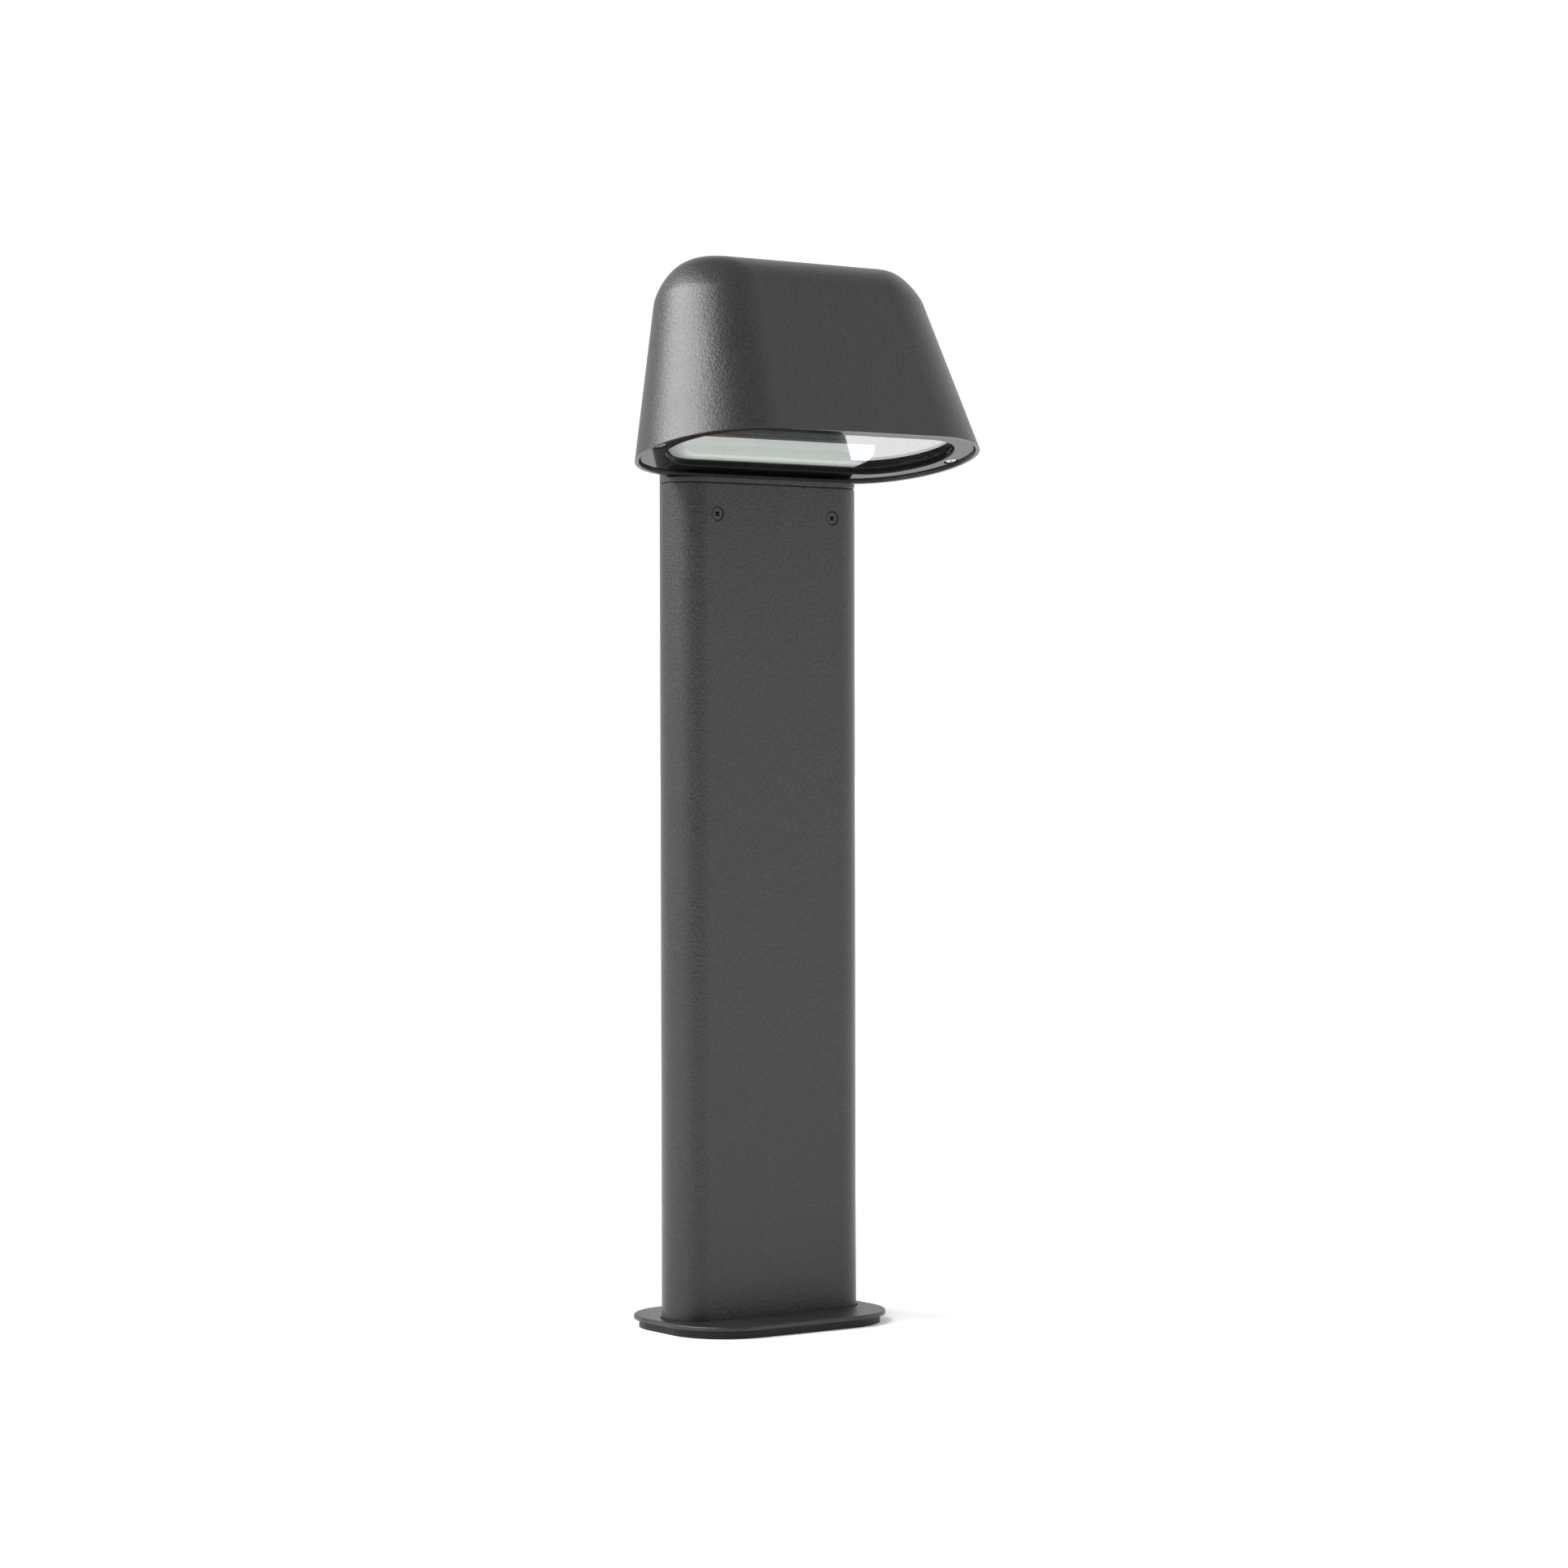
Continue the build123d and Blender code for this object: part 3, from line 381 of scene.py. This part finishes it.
def moulded(slot, colour, roughness, grain_mm=0.5, **constants):
    """Moulded plastic with a fine sparked grain and soft edges."""
    f = Finish(slot)
    grain = f.noise(grain_mm, 2.0)
    shade = f.mix(f.spread(f.noise(12.0, 3.0)), scaled(colour, 0.94), colour)
    rough = f.spread(grain, roughness - 0.05, roughness + 0.07)
    f.surface(shade, rough, f.bump(grain, 0.02, f.bevel(0.25)), **constants)


def sheathed_leads(slot):
    """Two insulated leads side by side: one brown and one blue, told apart by their X."""
    f = Finish(slot)
    low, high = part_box("mains_leads")
    blue = f.step(f.axis("X"), low.x + BROWN_SHARE * (high.x - low.x))
    colour = f.mix(blue, (0.13, 0.05, 0.025), (0.02, 0.08, 0.3))
    grain = f.noise(0.8, 2.0)
    f.surface(f.mix(f.spread(grain, 0.0, 0.2), colour, (0.2, 0.2, 0.2)),
              f.spread(grain, 0.32, 0.45), f.bump(grain, 0.01))


def earth_sleeve(slot):
    """Green insulation with a yellow side."""
    f = Finish(slot)
    low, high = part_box("earth_lead")
    green = f.step(f.axis("Y"), (low.y + high.y) / 2, 2 * SOFT_MM)
    grain = f.noise(0.8, 2.0)
    f.surface(f.mix(green, (0.75, 0.55, 0.03), (0.02, 0.22, 0.05)),
              f.spread(grain, 0.32, 0.45), f.bump(grain, 0.01))


def light_emitters(slot):
    """Small white packages with a yellow phosphor band across each one's middle."""
    f = Finish(slot)
    low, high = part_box("led_chips")
    pitch = (high.x - low.x - CHIP_MM * MM) / (CHIP_COUNT - 1)
    from_first = f.math("SUBTRACT", f.axis("X"), low.x + CHIP_MM / 2 * MM)
    from_middle = f.math("PINGPONG", from_first, pitch / 2)
    package = f.step(from_middle, PHOSPHOR_RADIUS_MM * MM, SOFT_MM / 2)
    dots = f.noise(0.3, 2.0)
    phosphor = f.mix(f.spread(dots), (0.8, 0.55, 0.08), (0.9, 0.68, 0.16))
    f.surface(f.mix(package, phosphor, (0.85, 0.85, 0.82)), f.spread(dots, 0.25, 0.4),
              f.bump(dots, 0.01))


def circuit_board(slot):
    """Green board with fine tracks; what stands on it is dark or blue, by how far it stands out."""
    f = Finish(slot)
    _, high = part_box("driver_circuit")
    on_board = f.step(f.axis("Y"), high.y - CIRCUIT_BOARD_MM * MM, SOFT_MM / 2)
    tracks = f.nodes.new("ShaderNodeTexBrick")
    f.set(tracks.inputs["Vector"], f.stretched((1.0, 0.0, 1.0)))
    f.set(tracks.inputs["Scale"], 1.0 / (TRACK_PITCH_MM * MM))
    f.set(tracks.inputs["Mortar Size"], 0.03)
    f.set(tracks.inputs["Color1"], (0.01, 0.12, 0.04))
    f.set(tracks.inputs["Color2"], (0.012, 0.14, 0.05))
    f.set(tracks.inputs["Mortar"], (0.03, 0.22, 0.09))
    bands = f.between(f.noise(25.0, 0.0), 0.45, 0.5)
    parts = f.mix(bands, (0.015, 0.015, 0.018), (0.03, 0.06, 0.2))
    grain = f.noise(0.5, 2.0)
    f.surface(f.mix(on_board, parts, tracks.outputs["Color"]), f.spread(grain, 0.25, 0.4),
              f.bump(grain, 0.02, f.bevel(0.2)))


powder_coat("anthracite_coat", (0.0175, 0.0177, 0.0173), 0.37, 0.95, 0.2)
powder_coat("foot_coat", (0.007, 0.0072, 0.0075), 0.5, 0.6, 0.06, Specular_IOR_Level=0.3)
blackened_screw("dark_screw")
gloss_ring("gloss_ring")
window_glass("clear_glass")
opal_cover("opal")
rubber("black_rubber")
metal("bright_steel", (0.62, 0.62, 0.63), (0.7, 0.7, 0.7), 0.22, 0.3)
metal("zinc_steel", (0.55, 0.56, 0.58), (0.6, 0.58, 0.5), 0.34, 1.2)
metal("bare_aluminium", (0.75, 0.75, 0.76), (0.8, 0.8, 0.8), 0.32, 0.8, stretch=(0.02, 1.0, 1.0))
metal("brass", (0.68, 0.48, 0.2), (0.6, 0.4, 0.15), 0.3, 0.4)
moulded("board_white", (0.8, 0.81, 0.79), 0.3, 0.8)
moulded("driver_plastic", (0.72, 0.72, 0.7), 0.45)
moulded("terminal_white", (0.7, 0.7, 0.66), 0.38, Subsurface_Weight=0.2,
        Subsurface_Radius=(0.002, 0.002, 0.002), Subsurface_Scale=1.0)
moulded("grey_lead", (0.3, 0.3, 0.3), 0.4)
sheathed_leads("brown_lead")
earth_sleeve("green_lead")
light_emitters("led_yellow")
circuit_board("circuit_green")


# ---- studio ----

def heading(azimuth, elevation):
    """A direction from the object: azimuth 0 is -Y, and it grows towards +X."""
    a = radians(azimuth)
    e = radians(elevation)
    return Vector((sin(a) * cos(e), -cos(a) * cos(e), sin(e)))


def make_floor():
    """Pale paper that glows a little, more so away from the object."""
    bpy.ops.mesh.primitive_plane_add(size=2 * FLOOR_REACH)
    floor = bpy.context.object
    floor.name = "floor"
    floor.data.materials.append(bpy.data.materials.new("floor_paper"))
    f = Finish("floor_paper")
    fibres = f.noise(2.0, 3.0)
    shade = f.mix(f.spread(fibres), scaled(FLOOR_COLOUR, 0.98), FLOOR_COLOUR)
    away = f.math("SQRT", f.dot(f.place, f.place))
    glow = f.between(away, *FLOOR_GLOW_REACH, FLOOR_GLOW_NEAR, FLOOR_GLOW_FAR)
    f.surface(shade, f.spread(fibres, 0.75, 0.85), f.bump(fibres, 0.02),
              Emission_Color=WHITE, Emission_Strength=glow, Specular_IOR_Level=0.1)


def make_world():
    """Soft surroundings with one dim side; the camera sees plain white behind the object."""
    world = bpy.data.worlds.new("studio")
    bpy.context.scene.world = world
    tree = NodeTree(world)
    direction = tree.nodes.new("ShaderNodeTexCoord").outputs["Generated"]

    def faded(centre, start, end, from_strength, to_strength):
        """A strength by how close the direction is to a centre, between two cosines."""
        return tree.between(tree.dot(direction, centre), start, end, from_strength, to_strength)

    def background(strength):
        node = tree.nodes.new("ShaderNodeBackground")
        tree.set(node.inputs["Color"], WHITE)
        tree.set(node.inputs["Strength"], strength)
        return node.outputs["Background"]

    wide = cos(radians(DARK_SIDE_HALF_ANGLE + DARK_SIDE_FADE))
    narrow = cos(radians(DARK_SIDE_HALF_ANGLE - DARK_SIDE_FADE))
    dark_side = faded(heading(*DARK_SIDE_DIRECTION), wide, narrow, 1.0, DARK_SIDE)
    sides = faded(heading(*BRIGHT_SIDE), *DIM_SIDE_FADE, SURROUND * DIM_SIDE, SURROUND)
    overhead = faded((0.0, 0.0, 1.0), SKY_FADE_START, 1.0, 1.0, SKY_TOP)
    lighting = tree.math("MULTIPLY", tree.math("MULTIPLY", dark_side, sides), overhead)
    seen = tree.nodes.new("ShaderNodeLightPath").outputs["Is Camera Ray"]
    shader = tree.mix_shaders(seen, background(lighting), background(BACKDROP))
    tree.set(tree.nodes.new("ShaderNodeOutputWorld").inputs["Surface"], shader)


def make_softbox(name, direction, distance, size, radiance, target):
    """A rectangular light that faces the target, with the same radiance at any size."""
    data = bpy.data.lights.new(name, "AREA")
    data.shape = "RECTANGLE"
    data.size, data.size_y = size
    data.energy = radiance * pi * size[0] * size[1]
    light = bpy.data.objects.new(name, data)
    bpy.context.scene.collection.objects.link(light)
    away = heading(*direction)
    light.location = target + away * distance
    light.rotation_mode = "QUATERNION"
    light.rotation_quaternion = away.to_track_quat("Z", "Y")
    light.visible_camera = False


def make_camera():
    data = bpy.data.cameras.new("camera")
    data.sensor_width = SENSOR_WIDTH
    data.lens = CAMERA_LENS
    camera = bpy.data.objects.new("camera", data)
    bpy.context.scene.collection.objects.link(camera)
    turn = Matrix.Rotation(radians(-CAMERA_YAW), 4, "Z")
    tilt = Matrix.Rotation(radians(90.0 + CAMERA_PITCH), 4, "X")
    roll = Matrix.Rotation(radians(CAMERA_ROLL), 4, "Z")
    camera.matrix_world = Matrix.Translation(CAMERA_PLACE) @ turn @ tilt @ roll
    bpy.context.scene.camera = camera


make_floor()
make_world()
head_low, head_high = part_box("head_housing")
head_middle = (head_low + head_high) / 2
make_softbox("key", KEY_DIRECTION, KEY_DISTANCE, KEY_SIZE, KEY_RADIANCE, head_middle)
make_softbox("halo", KEY_DIRECTION, KEY_DISTANCE + HALO_BEHIND, HALO_SIZE, HALO_RADIANCE,
             head_middle)
make_camera()
bpy.context.scene.view_settings.view_transform = "Standard"
